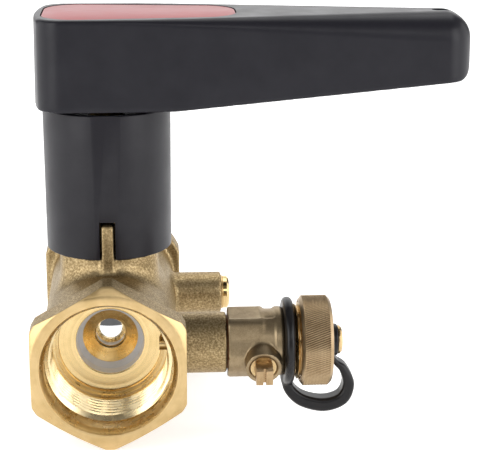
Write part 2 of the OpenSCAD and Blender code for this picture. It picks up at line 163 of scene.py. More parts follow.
def cast_brass():
    """Sand-cast brass: a speckled golden-brown skin."""
    mat, tree, shader = tree_of("cast brass", 0.5, 1.0)
    where = place(tree)
    grain = noise(tree, where, 1500, 4, 0.65)
    patches = noise(tree, where, 130, 3, 0.6)
    speckle = ramp(tree, grain, [(0.34, (0.16, 0.11, 0.05)), (0.5, (0.34, 0.25, 0.125)),
                                 (0.68, (0.74, 0.58, 0.33))])
    tone = ramp(tree, patches, [(0.35, (0.28, 0.20, 0.10)), (0.65, (0.47, 0.35, 0.185))])
    join(tree, mix(tree, 0.4, speckle, tone), shader.inputs["Base Color"])
    join(tree, spread(tree, grain, 0.58, 0.4), shader.inputs["Roughness"])
    fine = bump(tree, shader, grain, 0.55, 0.00016)
    bump(tree, shader, patches, 0.3, 0.0006, fine)
    return mat


def turned_brass(name, low, high, rough, rings, depth, axis="y", at=(0, 0, 0)):
    """Machined brass with the fine rings of the tool, about the axis it was turned on."""
    mat, tree, shader = tree_of(name, rough, 1.0)
    where = place(tree)
    parts = add(tree, "SeparateXYZ")
    join(tree, where, parts.inputs[0])
    names = {"x": 0, "y": 1, "z": 2}
    along = parts.outputs[names[axis]]
    across = [i for i in range(3) if i != names[axis]]
    sides = [maths(tree, "SUBTRACT", parts.outputs[i], at[i]) for i in across]
    squares = [maths(tree, "MULTIPLY", s, s) for s in sides]
    radius = maths(tree, "SQRT", maths(tree, "ADD", squares[0], squares[1]))
    station = maths(tree, "ADD", along, radius)
    line = add(tree, "CombineXYZ")
    join(tree, station, line.inputs[0])
    lines = noise(tree, line.outputs[0], rings, 3, 0.7)
    cloud = noise(tree, where, 160, 3, 0.6)
    colour = ramp(tree, lines, [(0.3, low), (0.7, high)])
    stain = ramp(tree, cloud, [(0.35, low), (0.62, high)])
    join(tree, mix(tree, 0.45, colour, stain), shader.inputs["Base Color"])
    join(tree, spread(tree, cloud, rough * 0.8, rough * 1.3), shader.inputs["Roughness"])
    bump(tree, shader, lines, 0.35, depth)
    return mat


def blasted_brass():
    mat, tree, shader = tree_of("blasted brass", 0.42, 1.0)
    where = place(tree)
    grain = noise(tree, where, 3200, 2, 0.5)
    cloud = noise(tree, where, 210, 4, 0.65)
    tone = ramp(tree, cloud, [(0.3, (0.24, 0.175, 0.10)), (0.7, (0.40, 0.31, 0.19))])
    dust = ramp(tree, grain, [(0.3, (0.20, 0.145, 0.08)), (0.7, (0.50, 0.39, 0.24))])
    join(tree, mix(tree, 0.25, tone, dust), shader.inputs["Base Color"])
    join(tree, spread(tree, cloud, 0.47, 0.36), shader.inputs["Roughness"])
    bump(tree, shader, grain, 0.3, 0.00006)
    return mat


def knurled_brass():
    """Dull brass of the cap, with painted shade darkening the grooves of its knurl."""
    mat, tree, shader = tree_of("knurled brass", 0.34, 1.0)
    where = place(tree)
    parts = add(tree, "SeparateXYZ")
    join(tree, where, parts.inputs[0])
    across = maths(tree, "SUBTRACT", parts.outputs[1], DRAIN * MM)
    radius = maths(tree, "SQRT", maths(tree, "ADD", maths(tree, "MULTIPLY", across, across),
                                       maths(tree, "MULTIPLY", parts.outputs[2], parts.outputs[2])))
    # Painted shade: a mask that is 1 in the knurl's grooves on the rim mixes dark brown into them, where
    # shade falls.
    on_rim = spread(tree, parts.outputs[0], 0, 1, 0.0656, 0.0658)
    before_face = spread(tree, parts.outputs[0], 1, 0, 0.0742, 0.0744)
    groove = spread(tree, radius, 1, 0, 0.01518, 0.01548)
    painted_groove_shade = maths(tree, "MULTIPLY", maths(tree, "MULTIPLY", on_rim, before_face), groove)
    cloud = noise(tree, where, 260, 4, 0.6)
    tone = ramp(tree, cloud, [(0.3, (0.40, 0.28, 0.155)), (0.7, (0.56, 0.415, 0.25))])
    join(tree, mix(tree, painted_groove_shade, tone, (0.085, 0.05, 0.02)), shader.inputs["Base Color"])
    join(tree, spread(tree, cloud, 0.28, 0.4), shader.inputs["Roughness"])
    bump(tree, shader, noise(tree, where, 2400, 2), 0.2, 0.00003)
    return mat


def plastic(name, dark, light, rough, grain_scale, grain_depth, shine=0.5):
    """Moulded plastic or rubber with a fine eroded grain."""
    mat, tree, shader = tree_of(name, rough, 0.0)
    shader.inputs["Specular IOR Level"].default_value = shine
    where = place(tree)
    grain = noise(tree, where, grain_scale, 3, 0.6)
    cloud = noise(tree, where, 90, 3, 0.6)
    join(tree, ramp(tree, cloud, [(0.3, dark), (0.7, light)]), shader.inputs["Base Color"])
    join(tree, spread(tree, cloud, rough * 1.12, rough * 0.9), shader.inputs["Roughness"])
    bump(tree, shader, grain, 0.3, grain_depth)
    return mat


def red_plate():
    mat, tree, shader = tree_of("red plate", 0.36, 0.0)
    where = place(tree, (0.06, 1, 1))
    brushed = noise(tree, where, 2600, 3, 0.7)
    cloud = noise(tree, place(tree), 60, 3, 0.6)
    colour = ramp(tree, brushed, [(0.3, (0.36, 0.045, 0.05)), (0.7, (0.47, 0.075, 0.08))])
    fading = ramp(tree, cloud, [(0.3, (0.34, 0.04, 0.045)), (0.7, (0.5, 0.09, 0.09))])
    join(tree, mix(tree, 0.3, colour, fading), shader.inputs["Base Color"])
    join(tree, spread(tree, brushed, 0.3, 0.44), shader.inputs["Roughness"])
    bump(tree, shader, brushed, 0.25, 0.00005)
    return mat


def metal(name, low, high, rough, scale=400.0, depth=0.00002):
    mat, tree, shader = tree_of(name, rough, 1.0)
    where = place(tree)
    cloud = noise(tree, where, scale, 4, 0.6)
    join(tree, ramp(tree, cloud, [(0.3, low), (0.7, high)]), shader.inputs["Base Color"])
    join(tree, spread(tree, cloud, rough * 0.8, rough * 1.25), shader.inputs["Roughness"])
    bump(tree, shader, cloud, 0.1, depth)
    return mat


M = {
    "cast": cast_brass(),
    "face": turned_brass("turned face", (0.50, 0.34, 0.145), (0.72, 0.53, 0.27), 0.34, 2600, 0.00003),
    "bore": turned_brass("turned bore", (0.74, 0.57, 0.30), (0.92, 0.77, 0.48), 0.26, 1500, 0.00002),
    "mouth": turned_brass("turned mouth", (0.62, 0.43, 0.18), (0.86, 0.65, 0.34), 0.42, 2600, 0.00003),
    "relief": turned_brass("turned relief", (0.64, 0.46, 0.20), (0.86, 0.67, 0.36), 0.28, 1800, 0.00003),
    "floor": turned_brass("turned floor", (0.62, 0.44, 0.19), (0.84, 0.64, 0.33), 0.22, 900, 0.00001),
    "plug": turned_brass("polished plug", (0.64, 0.45, 0.20), (0.88, 0.68, 0.37), 0.16, 700, 0.00001,
                         "x", (0, TEST * MM, 0)),
    "cock": turned_brass("turned cock", (0.50, 0.35, 0.17), (0.78, 0.58, 0.31), 0.28, 1500, 0.00003,
                         "x", (0, DRAIN * MM, 0)),
    "knurl": knurled_brass(),
    "stem": turned_brass("stem brass", (0.34, 0.225, 0.115), (0.56, 0.40, 0.23), 0.3, 1500, 0.00003,
                         "x", (0, DRAIN * MM, 0)),
    "nozzle": turned_brass("turned nozzle", (0.48, 0.33, 0.13), (0.84, 0.64, 0.32), 0.26, 2200, 0.0001),
    "inner": turned_brass("inner brass", (0.60, 0.42, 0.18), (0.84, 0.62, 0.30), 0.3, 1500, 0.00002),
    "blasted": blasted_brass(),
    "chrome": metal("chromed ball", (0.80, 0.81, 0.83), (0.93, 0.93, 0.95), 0.035, 300, 0.000002),
    "steel": metal("zinc-plated steel", (0.45, 0.46, 0.48), (0.66, 0.67, 0.69), 0.32),
    # Painted shade: this grey stands for the white seat ring's face in shade.
    "seat": plastic("seat plastic", (0.66, 0.69, 0.76), (0.76, 0.79, 0.86), 0.35, 1500, 0.00003),
    "white": plastic("white seal", (0.88, 0.88, 0.89), (0.95, 0.95, 0.95), 0.35, 1500, 0.00003),
    "brown": plastic("brown seal", (0.22, 0.075, 0.02), (0.36, 0.13, 0.04), 0.5, 2500, 0.00004),
    "sleeve": plastic("sleeve plastic", (0.012, 0.011, 0.0145), (0.017, 0.016, 0.020), 0.36, 3000, 0.00003,
                      shine=0.26),
    "lever": plastic("lever plastic", (0.0095, 0.009, 0.013), (0.014, 0.0135, 0.018), 0.34, 2300, 0.00004,
                     shine=0.24),
    "red": red_plate(),
    "rubber": plastic("black rubber", (0.005, 0.0045, 0.005), (0.010, 0.009, 0.010), 0.3, 1800, 0.00004,
                      shine=0.32),
}


# ---------------------------------------------------------------- mesh helpers
def piece(name, verts, faces, mats, body, index=None, cad=(), slot=None, sharp=34):
    """One finished piece: vertices in mm, material names, and the material of each face."""
    mesh = bpy.data.meshes.new(name)
    mesh.from_pydata((np.asarray(verts, float) * MM).tolist(), [], [list(map(int, f)) for f in faces])
    for m in mats:
        mesh.materials.append(M[m])
    if index is not None:
        mesh.polygons.foreach_set("material_index", np.asarray(index, np.int32))
    return settle(name, mesh, body, cad, sharp)


def settle(name, mesh, body, cad=(), sharp=34):
    shade(mesh, sharp)
    obj = bpy.data.objects.new(name, mesh)
    bpy.context.scene.collection.objects.link(obj)
    if body:
        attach(obj, body)
    if cad:
        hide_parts(*cad)
    return obj


def shade(mesh, sharp):
    mesh.polygons.foreach_set("use_smooth", np.ones(len(mesh.polygons), bool))
    mesh.update()
    mesh.set_sharp_from_angle(angle=math.radians(sharp))


def soften(points, arc=5):
    """Rounds the corners of a profile: points are (along, radius) or (along, radius, fillet)."""
    out = []
    for i, p in enumerate(points):
        here = np.array(p[:2], float)
        fillet = p[2] if len(p) > 2 else 0.0
        if not fillet or i in (0, len(points) - 1):
            out.append(here)
            continue
        before, after = np.array(points[i - 1][:2], float), np.array(points[i + 1][:2], float)
        a, b = before - here, after - here
        la, lb = np.linalg.norm(a), np.linalg.norm(b)
        a, b = a / la, b / lb
        half = math.acos(max(-1, min(1, float(a @ b)))) / 2
        reach = min(fillet / math.tan(half), la * 0.48, lb * 0.48)
        for t in np.linspace(0, 1, arc + 1):
            start, end = here + a * reach, here + b * reach
            out.append((1 - t) ** 2 * start + 2 * t * (1 - t) * here + t * t * end)
    return np.array(out)


def revolve(profile, turns, axis, at, radius=None):
    """Turned surface along axis 0, 1 or 2 through the point at. radius(angle, along, r) can shape it."""
    angle = np.linspace(0, 2 * math.pi, turns, endpoint=False)
    along = np.repeat(profile[:, 0][:, None], turns, 1)
    r = np.repeat(profile[:, 1][:, None], turns, 1)
    a = np.repeat(angle[None, :], len(profile), 0)
    if radius is not None:
        along, r = radius(a, along, r)
    u, v = [i for i in range(3) if i != axis]
    verts = np.zeros(along.shape + (3,))
    verts[..., axis] = along + at[axis]
    verts[..., u] = r * np.cos(a) + at[u]
    verts[..., v] = r * np.sin(a) + at[v]
    rows, cols = along.shape
    grid = np.arange(rows * cols).reshape(rows, cols)
    beside = np.roll(grid, -1, 1)
    faces = np.stack([grid[:-1], beside[:-1], beside[1:], grid[1:]], -1).reshape(-1, 4)
    return verts.reshape(-1, 3), faces, np.repeat(np.arange(rows - 1), cols)


def weld(obj, distance=0.00001):
    work = bmesh.new()
    work.from_mesh(obj.data)
    bmesh.ops.remove_doubles(work, verts=work.verts, dist=distance)
    bmesh.ops.recalc_face_normals(work, faces=work.faces)
    work.to_mesh(obj.data)
    work.free()


def turned(name, points, mats, body, axis=0, at=(0, DRAIN, 0), turns=96, cad=(), slot=None, band=None):
    """A turned piece from its softened profile. band(station middle, radius middle) picks the material."""
    profile = soften(points)
    verts, faces, station = revolve(profile, turns, axis, at)
    index = None
    if band:
        middles = (profile[:-1] + profile[1:]) / 2
        index = np.array([band(*m) for m in middles], np.int32)[station]
    obj = piece(name, verts, faces, mats, body, index, cad, slot)
    weld(obj)
    shade(obj.data, 34)
    return obj


def fillet(a, b, r):
    """Union of two distances with a concave fillet of radius r."""
    return np.maximum(r, np.minimum(a, b)) - np.sqrt(np.maximum(r - a, 0) ** 2 + np.maximum(r - b, 0) ** 2)


def meet(a, b, r):
    """Intersection of two distances with a rounded edge of radius r."""
    return np.minimum(-r, np.maximum(a, b)) + np.sqrt(np.maximum(r + a, 0) ** 2 + np.maximum(r + b, 0) ** 2)


def rod(x, y, r):
    return np.sqrt(x * x + y * y) - r


def hexagon(a, b, half):
    """Distance to a hexagon whose first flats face along a."""
    rising = np.abs(a * 0.5 + b * HALF_ROOT_3)
    falling = np.abs(a * 0.5 - b * HALF_ROOT_3)
    return np.maximum(np.abs(a), np.maximum(rising, falling)) - half


def slab(v, low, high):
    return np.maximum(low - v, v - high)


def step(v, low, high):
    t = np.clip((v - low) / (high - low), 0, 1)
    return t * t * (3 - 2 * t)


def skin(field, low, high, h):
    """Quad skin of a distance field: one vertex in each crossed cell, moved on to the zero level."""
    axes = [np.arange(l, u + h, h) for l, u in zip(low, high)]
    x, y, z = np.meshgrid(*axes, indexing="ij", sparse=True)
    value = np.broadcast_to(field(x, y, z), [len(a) for a in axes]).astype(np.float32)
    value = np.where(value == 0, np.float32(1e-6), value)
    inside = value < 0
    n = inside.shape
    corners = [(i, j, k) for i in (0, 1) for j in (0, 1) for k in (0, 1)]
    count = sum(inside[i:n[0] - 1 + i, j:n[1] - 1 + j, k:n[2] - 1 + k].astype(np.int8) for i, j, k in corners)
    live = (count > 0) & (count < 8)
    number = np.full(live.shape, -1, np.int64)
    number[live] = np.arange(live.sum())
    cell = np.argwhere(live)
    total, hits = np.zeros((len(cell), 3)), np.zeros(len(cell))
    for a in corners:
        for axis in range(3):
            if a[axis]:
                continue
            b = list(a)
            b[axis] = 1
            va = value[tuple((cell + a).T)]
            vb = value[tuple((cell + b).T)]
            crossed = (va < 0) != (vb < 0)
            t = va[crossed] / (va[crossed] - vb[crossed])
            point = np.repeat(np.array([a], float), crossed.sum(), 0)
            point[:, axis] = t
            total[crossed] += point
            hits[crossed] += 1
    verts = np.array(low, float) + h * (cell + total / hits[:, None])
    faces = []
    for axis in range(3):
        u, v = [i for i in range(3) if i != axis]
        head = [slice(None)] * 3
        tail = [slice(None)] * 3
        head[axis], tail[axis] = slice(0, -1), slice(1, None)
        change = inside[tuple(head)] != inside[tuple(tail)]
        at = np.argwhere(change)
        at = at[(at[:, u] > 0) & (at[:, v] > 0) & (at[:, u] < n[u] - 1) & (at[:, v] < n[v] - 1)]
        ring = []
        for du, dv in ((-1, -1), (0, -1), (0, 0), (-1, 0)):
            c = at.copy()
            c[:, u] += du
            c[:, v] += dv
            ring.append(number[tuple(c.T)])
        quad = np.stack(ring, 1)
        flip = inside[tuple(at.T)] if axis != 1 else ~inside[tuple(at.T)]
        quad[~flip] = quad[~flip][:, ::-1]
        faces.append(quad)
    faces = np.concatenate(faces)
    eps = 0.01
    for _ in range(4):
        here = field(*verts.T)
        slope = np.stack([(field(*(verts + d).T) - field(*(verts - d).T)) / (2 * eps)
                          for d in np.eye(3) * eps], 1)
        size = np.maximum((slope ** 2).sum(1), 0.2)
        move = -(here / size)[:, None] * slope
        length = np.linalg.norm(move, axis=1, keepdims=True)
        verts = verts + move * np.minimum(1, 0.5 * h / np.maximum(length, 1e-9))
    return verts, faces


def carve(obj, tools):
    """Cuts the tool pieces out of obj and removes them."""
    for tool in tools:
        cut = obj.modifiers.new("cut", "BOOLEAN")
        cut.operation, cut.object, cut.solver = "DIFFERENCE", tool, "EXACT"
    bpy.context.view_layer.update()
    graph = bpy.context.evaluated_depsgraph_get()
    mesh = bpy.data.meshes.new_from_object(obj.evaluated_get(graph))
    obj.modifiers.clear()
    obj.data = mesh
    for tool in tools:
        bpy.data.objects.remove(tool)


def outline(circles, count):
    """Convex outline round circles (x, y, r), as evenly turned points."""
    points = []
    for a in np.linspace(0, 2 * math.pi, count, endpoint=False):
        d = np.array([math.cos(a), math.sin(a)])
        best = max(circles, key=lambda c: c[0] * d[0] + c[1] * d[1] + c[2])
        points.append(np.array(best[:2]) + d * best[2])
    return np.array(points)


def block(name, ring, low, high, mats=(), body=None, ease=0.0, **more):
    """A plate of an outline in x and y between two heights, with an eased top edge."""
    ring = np.asarray(ring)
    n = len(ring)
    levels = [(low, 0.0), (high, 0.0)] if not ease else [
        (low, 0.0), (high - ease, 0.0), (high - ease * 0.3, ease * 0.3), (high, ease)]
    after, before = np.roll(ring, -1, 0), np.roll(ring, 1, 0)
    tangent = after - before
    inward = np.stack([-tangent[:, 1], tangent[:, 0]], 1)
    inward /= np.maximum(np.linalg.norm(inward, axis=1, keepdims=True), 1e-9)
    verts = np.concatenate([np.column_stack([ring + inward * inset, np.full(n, z)]) for z, inset in levels])
    faces = []
    for row in range(len(levels) - 1):
        for i in range(n):
            j = (i + 1) % n
            faces.append([row * n + i, row * n + j, (row + 1) * n + j, (row + 1) * n + i])
    faces.append(list(range(n))[::-1])
    faces.append([(len(levels) - 1) * n + i for i in range(n)])
    return piece(name, verts, faces, mats, body, **more)


fine = 1.0


# ---------------------------------------------------------------- cast body
def body_field(x, y, z):
    rho = np.sqrt(x * x + z * z)
    ends = []
    for depth, corner in ((y - INLET, CORNER), (OUTLET - y, REAR_CORNER)):
        flats = np.maximum(hexagon(x, z, HEX), rho - corner)
        cone = (rho - FACE_EDGE - depth * FACE_SLOPE) / 2.129 + 0.12
        ends.append(np.maximum(meet(flats, depth - 11, 0.9), np.maximum(cone, 0.12 - depth)))
    barrel = np.maximum(rho - BARREL, slab(y, 0, 86))
    neck = np.maximum(meet(rod(x, y - STEM, 20.6), np.abs(x) - 17.0, 2.0), slab(z, 0, 28.15))
    upper = np.maximum(rod(x, y - STEM, 14.0), slab(z, 0, 41))
    rib = meet(np.abs(x + 0.2) - 2.0, 20.9 - y, 0.7)
    rib = meet(rib, np.maximum(z - 40.3, np.maximum(y - 34, 8 - z)), 0.7)
    drain = meet(rod(y - DRAIN, z, 10.4), x - 39.7, 0.9)
    drain = np.maximum(drain, 5 - x)
    test = meet(rod(y - TEST, z, 7.65), x - 40.6, 0.8)
    test = np.maximum(test, 5 - x)
    solid = fillet(barrel, ends[0], 1.6)
    solid = fillet(solid, ends[1], 1.6)
    solid = fillet(solid, neck, 4.0)
    solid = fillet(solid, drain, 1.8)
    solid = fillet(solid, test, 1.8)
    solid = fillet(solid, np.minimum(rib, upper), 1.6)
    wall = np.minimum(y - INLET, OUTLET - y)
    solid = np.maximum(solid, np.maximum(21.6, 23.1 - 0.62 * wall) - rho)
    for port, wide, deep, narrow in ((DRAIN, 6.58, 28.5, 2.35), (TEST, 4.87, 30.0, 2.05)):
        pocket = np.maximum(rod(y - port, z, wide), deep - x)
        cross_hole = np.maximum(rod(y - port, z, narrow), 10 - x)
        solid = np.maximum(solid, -np.minimum(pocket, cross_hole))
    gland_bore = np.maximum(rod(x, y - STEM, GLAND), slab(z, 33.5, 60))
    stem_bore = np.maximum(rod(x, y - STEM, 6.1), slab(z, 10, 60))
    return np.maximum(solid, -np.minimum(gland_bore, stem_bore))


def thread_shape(turn):
    """Rounded 55 degree thread over one turn: 0 in the root, 1 on the crest."""
    wave = 1 - np.abs((turn % 1.0) * 2 - 1)
    return np.clip((wave - 0.14) / 0.72, 0, 1) * 0.88 + 0.12 * step(wave, 0.0, 1.0)


def valve_body():
    verts, faces = skin(body_field, (-30, -10, -30), (42, 96, 43), 0.62 * fine)
    sets, lists, marks = [verts], [faces], [np.zeros(len(faces), int)]
    names = ["cast", "face", "mouth", "bore", "relief", "floor", "inner", "white"]
    turns = 288
    angle = np.linspace(0, 2 * math.pi, turns, endpoint=False)
    # Rows from the side of the hexagon over its turned corner, the face, the mouth and the threads
    for end, sign, start, corner in ((INLET, 1, 0.0, CORNER), (OUTLET, -1, 0.4, REAR_CORNER)):
        edge = np.minimum(HEX / np.cos((angle + math.pi / 6) % (math.pi / 3) - math.pi / 6), corner)
        rows, mats = [], []

        def row(depth, radius, mat):
            rows.append((np.broadcast_to(depth, angle.shape), np.broadcast_to(radius, angle.shape)))
            mats.append(mat)

        cut = np.maximum(edge - FACE_EDGE, 0) / FACE_SLOPE
        row(cut + 1.4, edge + 0.02, 0)
        row(cut + 0.1, edge + 0.02, 0)
        row(cut, edge - 0.06, 1)
        for share in (0.75, 0.5, 0.25):
            middle = FACE_EDGE + (edge - FACE_EDGE) * share
            row(np.maximum(middle - FACE_EDGE, 0) / FACE_SLOPE, np.minimum(middle, edge - 0.06), 1)
        row(0.0, np.minimum(edge - 0.1, 25.5), 1)
        row(0.0, 24.0, 1)
        row(0.0, 22.86, 1)
        row(0.06, 22.7, 2)
        row(0.6, 22.34, 2)
        row(2.3, 21.38, 3)
        for s in (2.6, 5.0, 8.2):
            row(s, RECESS, 3)
        for s in np.arange(8.5, 24.01, 0.11 * fine):
            crest = thread_shape(s / PIPE_PITCH - sign * angle / (2 * math.pi) + start)
            lead_in = RECESS - (s - 8.7) * 1.1
            r = np.minimum(np.maximum(ROOT - THREAD_DEPTH * crest, lead_in), RECESS)
            fade = step(s, 22.6, 23.7)
            row(s, r * (1 - fade) + CAVITY * fade, 3)
        row(24.1, 19.5, 3)
        row(24.2, 18.66, 4)
        row(25.2, 18.6, 4)
        # Behind the thread: the inlet's relief, step, floor, opening and seat pocket, or the outlet's chamber
        if sign > 0:
            behind = ((26.0, 18.6, 4), (26.05, 17.76, 4), (27.2, 17.7, 4), (27.5, 17.6, 5), (27.62, 17.2, 5),
                      (27.72, 15.8, 5), (27.84, 14.2, 5), (27.95, 12.6, 5), (28.0, 11.85, 5), (28.1, 11.7, 6),
                      (29.5, 11.7, 7), (29.52, 15.5, 6), (33, 15.5, 6), (33.02, CAVITY, 6), (52, CAVITY, 6))
        else:
            behind = ((25.3, 19.7, 4), (30, CAVITY, 6), (52, CAVITY, 6))
        for s, r, m in behind:
            row(s, r, m)
        depth = np.array([d for d, _ in rows])
        radius = np.array([r for _, r in rows])
        a = np.broadcast_to(angle, depth.shape)
        y = end + sign * depth
        points = np.stack([radius * np.cos(a), y, radius * np.sin(a)], -1)
        count, cols = depth.shape
        grid = np.arange(count * cols).reshape(count, cols)
        beside = np.roll(grid, -1, 1)
        quads = np.stack([grid[:-1], grid[1:], beside[1:], beside[:-1]], -1)
        if sign > 0:
            quads = quads[..., ::-1]
        quads = quads.reshape(-1, 4)
        kind = np.repeat(np.array(mats[1:]), cols)
        flat = points.reshape(-1, 3)
        # The small cross hole of the port, opened in the wall and rounded to its circle
        port, size = (DRAIN, 2.3) if sign > 0 else (TEST, 2.0)
        near = (flat[:, 0] > 0) & (np.abs(flat[:, 1] - port) < 6) & (np.abs(flat[:, 2]) < 6)
        off = np.hypot(flat[:, 1] - port, flat[:, 2])
        keep = ~((off[quads] < size) & near[quads]).all(1)
        rim = np.zeros(len(flat), bool)
        rim[np.unique(quads[~keep])] = True
        rim &= np.isin(np.arange(len(flat)), quads[keep])
        quads, kind = quads[keep], kind[keep]
        scale = size / np.maximum(off[rim], 1e-6)
        flat[rim, 1] = port + (flat[rim, 1] - port) * scale
        flat[rim, 2] = flat[rim, 2] * scale
        sets.append(flat)
        lists.append(quads + sum(len(s) for s in sets[:-1]))
        marks.append(kind)
    for port, size in ((DRAIN, 2.32), (TEST, 2.02)):
        tube, quads, _ = revolve(np.array([[16.8, size], [24, size], [30, size]]), 40, 0, (0, port, 0))
        lists.append(quads + sum(len(s) for s in sets))
        sets.append(tube)
        marks.append(np.full(len(quads), 4))
    return piece("valve_body_visual", np.concatenate(sets), np.concatenate(lists), names, "housing",
                 np.concatenate(marks), ("valve_body",), "cast_brass", 32)


valve_body()


# ---------------------------------------------------------------- lever
def lever_form(x, y, z):
    """Distance to the lever's outer form, before its underside is cut and its inside is hollowed."""
    draft = (z - FOOT) * 0.02
    straight = np.abs(y) - LEVER_HALF
    slanted = (np.abs(y) - LEVER_HALF + (x - 16) * 0.0985) * 0.9952
    bend = np.maximum(1.5 - np.abs(straight - slanted), 0)
    side = np.maximum(straight, slanted) + bend * bend / 6 + draft
    back = (LEVER_BACK - x) + y * y / 150 + draft * 0.6
    tip = x - LEVER_TIP + draft * 0.3
    plan = meet(meet(side, back, 7.0), tip, 9.0)
    edge = 1.3 + 8.4 * np.clip((x - 9) / 107, 0, 1) ** 1.05
    return meet(plan, z - TOP, edge)


def lever_field(x, y, z):
    y = y - STEM
    form = lever_form(x, y, z)
    rise = np.maximum(x - 23, 0) * 0.074
    under = meet((FOOT + rise - z) * 0.997, x - LEVER_TIP, 5.0)
    outer = meet(form, under, 0.8)
    hollow = meet(form + WALL, z - 106.6, 1.5)
    shell = meet(outer, -hollow, 0.9)
    boss = np.maximum(rod(x, y, 14.4), slab(z, FOOT, 108))
    shell = fillet(shell, boss, 1.2)
    return meet(shell, np.minimum(INSERT - np.sqrt(x * x + y * y), ROOF - z), 0.5)


def lever():
    verts, faces = skin(lever_field, (-26, STEM - 24, 78), (127, STEM + 24, 111), 0.7 * fine)
    handle = piece("lever_handle_visual", verts, faces, ["lever"], None, slot="lever_plastic")
    plate = [(x, side * y + STEM, PLATE_ROUND) for x, y in (PLATE_HUB, PLATE_TIP) for side in (-1, 1)]
    pocket = block("pocket", outline(plate, 200), TOP - 1.4, TOP + 3, ["lever"])
    hole = outline([(114.2, STEM, 2.1), (116.0, STEM, 2.1)], 40)
    slot = block("slot", hole, 80, TOP + 3, ["lever"])
    carve(handle, [pocket, slot])
    shade(handle.data, 34)
    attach(handle, "lever")
    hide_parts("lever_handle")
    inset = [(x, y, r - 0.32) for x, y, r in plate]
    block("lever_plate_visual", outline(inset, 200), TOP - 1.3, TOP - 0.12, ["red"], "lever", ease=0.25,
          cad=("lever_plate",), slot="red_plate")


lever()


# ---------------------------------------------------------------- neck sleeve
def sleeve():
    inside, web, web_top = 19.2, 71.6, 74.8
    points = [(SLEEVE_FOOT, inside), (SLEEVE_FOOT, SLEEVE, 0.35), (SLEEVE_TOP, SLEEVE + 0.2, 0.5),
              (SLEEVE_TOP, inside + 0.4, 0.3), (web_top, inside + 0.4, 0.3), (web_top, 6.2, 0.2),
              (web, 6.2, 0.2), (web, inside, 0.3), (SLEEVE_FOOT, inside)]
    sleeve = turned("neck_sleeve_visual", points, ["sleeve"], None, 2, (0, STEM, 0), 160)
    slot = np.array([(-2.9, STEM - 26), (2.5, STEM - 26), (2.5, STEM - 15), (-2.9, STEM - 15)])
    flat = np.array([(-12, STEM - 26), (12, STEM - 26), (12, STEM - 21.42), (-12, STEM - 21.42)])
    carve(sleeve, [block("slot_cut", slot, 20, 41.6, ["sleeve"]),
                   block("flat_cut", flat, 20, 90, ["sleeve"])])
    edge = sleeve.modifiers.new("edge", "BEVEL")
    edge.width, edge.segments = 0.3 * MM, 2
    edge.limit_method, edge.angle_limit = "ANGLE", math.radians(12)
    edge.use_clamp_overlap = True
    graph = bpy.context.evaluated_depsgraph_get()
    mesh = bpy.data.meshes.new_from_object(sleeve.evaluated_get(graph))
    sleeve.modifiers.clear()
    sleeve.data = mesh
    shade(mesh, 34)
    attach(sleeve, "housing")
    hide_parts("neck_sleeve")


sleeve()


# ---------------------------------------------------------------- drain cock, cap and strap
def cock_field(x, y, z):
    y = y - DRAIN
    rho = np.sqrt(y * y + z * z)
    turn = math.radians(9.2)
    front = -y * math.cos(turn) - z * math.sin(turn)
    over = -y * math.sin(turn) + z * math.cos(turn)
    nut = meet(meet(hexagon(over, front, 10.75), rho - 12.0, 0.3), slab(x, 40.2, 52.1), 0.7)
    round_front = np.maximum(np.maximum(rho - 11.3, 4.0 - front), slab(x, 40.3, 56))
    waist = np.maximum(rho - 11.2, slab(x, 51.4, 60))
    collar = meet(rho - 11.9, slab(x, 55.9, 58.7), 0.9)
    neck = np.maximum(rho - 11.0, slab(x, 57, 63.4))
    solid = fillet(fillet(nut, round_front, 1.0), np.minimum(waist, neck), 1.0)
    solid = fillet(solid, collar, 0.9)
    tilt = math.radians(15)
    out = -y * math.cos(tilt) - z * math.sin(tilt)
    side = -y * math.sin(tilt) + z * math.cos(tilt)
    across = np.sqrt((x - 51.5) ** 2 + side ** 2)
    boss = meet(across - 6.0 - (16 - out) * 0.02, out - 16, 0.35)
    boss = np.maximum(boss, -out)
    solid = fillet(solid, boss, 0.7)
    solid = np.maximum(solid, -np.maximum(across - 4.4 - np.maximum(out - 15.45, 0), 12.4 - out))
    solid = np.maximum(solid, -np.maximum(across - 3.1, 4 - out))
    return np.maximum(solid, -np.maximum(rho - WATER_WAY, slab(x, 30, 80)))


def drain_cock():
    verts, faces = skin(cock_field, (40, DRAIN - 18, -15), (64, DRAIN + 15, 15), 0.3 * fine)
    tail = soften([(30, WATER_WAY), (29.8, 6.54, 0.2), (40.8, 6.54)])
    more, quads, _ = revolve(tail, 64, 0, (0, DRAIN, 0))
    stations = np.arange(NECK_END, COCK_END + 0.01, 0.1 * fine)
    mouth = [(COCK_END, 12.2), (COCK_END, COCK_MOUTH + 0.4), (COCK_END - 0.4, COCK_MOUTH),
             (NECK_END, COCK_MOUTH), (NECK_END, WATER_WAY)]
    thread = [(s, COCK_THREAD) for s in stations] + mouth
    count = len(stations)

    def wind(a, along, r):
        crest = thread_shape(along / COCK_PITCH - a / (2 * math.pi))
        shaped = r - 1.16 * (1 - crest)
        ends = np.minimum((along - NECK_END) * 1.2, (COCK_END - along) * 1.2) + 11.9
        shaped = np.minimum(shaped, np.maximum(ends, 11.2))
        r = np.where(np.arange(len(r))[:, None] < count, shaped, r)
        return along, r

    spiral, winding, _ = revolve(np.array(thread), 160, 0, (0, DRAIN, 0), wind)
    points = np.concatenate([verts, more, spiral])
    all_faces = np.concatenate([faces, quads + len(verts), winding + len(verts) + len(more)])
    index = np.repeat([0, 1], [len(faces), len(quads) + len(winding)])
    piece("drain_body_visual", points, all_faces, ["blasted", "cock"], "housing", index, ("drain_body",),
          "blasted_brass", 32)


drain_cock()


